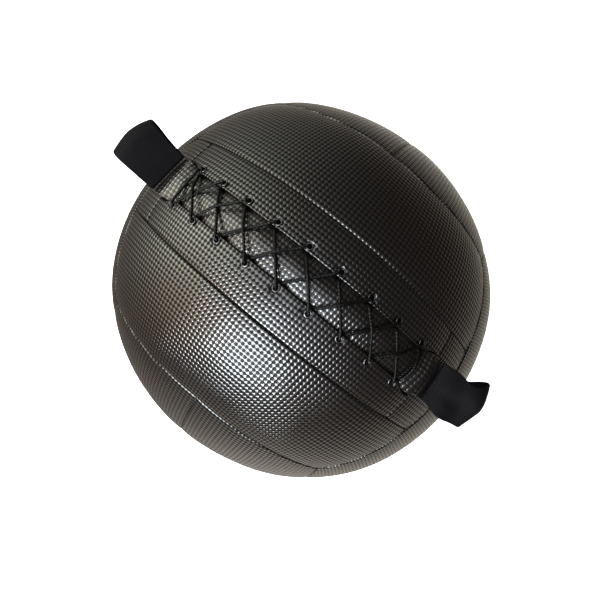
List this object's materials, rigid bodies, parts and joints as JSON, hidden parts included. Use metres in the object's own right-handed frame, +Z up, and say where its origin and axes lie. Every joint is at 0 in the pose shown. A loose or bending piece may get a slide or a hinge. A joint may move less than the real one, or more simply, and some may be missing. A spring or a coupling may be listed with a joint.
{
  "type": "laced soft medicine ball",
  "caption": "Soft stuffed exercise ball with an embossed black vinyl cover, a laced filling slit over a tongue strap, and a webbing loop handle at each end.",
  "frame": {"origin": "middle of the flat patch that the ball rests on", "axes": "+Z up through the middle of the lacing, +X along the lacing towards the right handle, +Y to the far side"},
  "size_m": [0.3528, 0.3446, 0.3504],
  "materials": {
    "black_vinyl": "glossy, embossed with a fine woven check",
    "strap_vinyl": "glossy, embossed with a fine woven check",
    "webbing": "satin woven webbing",
    "eyelet_metal": "glossy dark plating",
    "lace_cord": "twisted polyester cord",
    "lining_foam": "soft closed-cell foam",
    "bag_canvas": "plain canvas",
    "shredded_fibre": "loose shredded textile",
    "iron_sand": "fine iron sand"
  },
  "bodies": {
    "ball": {"bottom_strip_centre": "black_vinyl", "bottom_strip_far": "black_vinyl", "bottom_strip_near": "black_vinyl", "eyelet_far_1": "eyelet_metal", "eyelet_far_2": "eyelet_metal", "eyelet_far_3": "eyelet_metal", "eyelet_far_4": "eyelet_metal", "eyelet_far_5": "eyelet_metal", "eyelet_far_6": "eyelet_metal", "eyelet_far_7": "eyelet_metal", "eyelet_far_8": "eyelet_metal", "eyelet_far_9": "eyelet_metal", "eyelet_near_1": "eyelet_metal", "eyelet_near_2": "eyelet_metal", "eyelet_near_3": "eyelet_metal", "eyelet_near_4": "eyelet_metal", "eyelet_near_5": "eyelet_metal", "eyelet_near_6": "eyelet_metal", "eyelet_near_7": "eyelet_metal", "eyelet_near_8": "eyelet_metal", "eyelet_near_9": "eyelet_metal", "far_panel_left": "black_vinyl", "far_panel_right": "black_vinyl", "filling_lower": "shredded_fibre", "filling_upper": "shredded_fibre", "foam_lining_bottom": "lining_foam", "foam_lining_far": "lining_foam", "foam_lining_left": "lining_foam", "foam_lining_near": "lining_foam", "foam_lining_right": "lining_foam", "foam_lining_top_far": "lining_foam", "foam_lining_top_near": "lining_foam", "inner_bag": "bag_canvas", "iron_sand": "iron_sand", "lace": "lace_cord", "lacing_flap_far": "black_vinyl", "lacing_flap_near": "black_vinyl", "left_handle_tab": "webbing", "left_panel_lower": "black_vinyl", "left_panel_upper": "black_vinyl", "near_panel_left": "black_vinyl", "near_panel_right": "black_vinyl", "pouch_tie": "lace_cord", "right_handle_tab": "webbing", "right_panel_lower": "black_vinyl", "right_panel_upper": "black_vinyl", "sand_pouch": "bag_canvas", "tongue_strap": "strap_vinyl", "top_end_piece_left": "black_vinyl", "top_end_piece_right": "black_vinyl", "top_strip_far": "black_vinyl", "top_strip_near": "black_vinyl"},
    "left_handle": {"left_handle_loop": "webbing"},
    "right_handle": {"right_handle_loop": "webbing"}
  },
  "joints": [
    {"name": "left_handle_lift", "type": "hinge", "parent": "ball", "child": "left_handle", "pos_m": [-0.11783, 0, 0.30655], "axis": [0.144, 0.9816, 0.1252], "range_deg": [-34, 80]},
    {"name": "right_handle_lift", "type": "hinge", "parent": "ball", "child": "right_handle", "pos_m": [0.11783, 0, 0.30655], "axis": [0.1181, -0.9877, -0.1026], "range_deg": [-8, 95]}
  ]
}
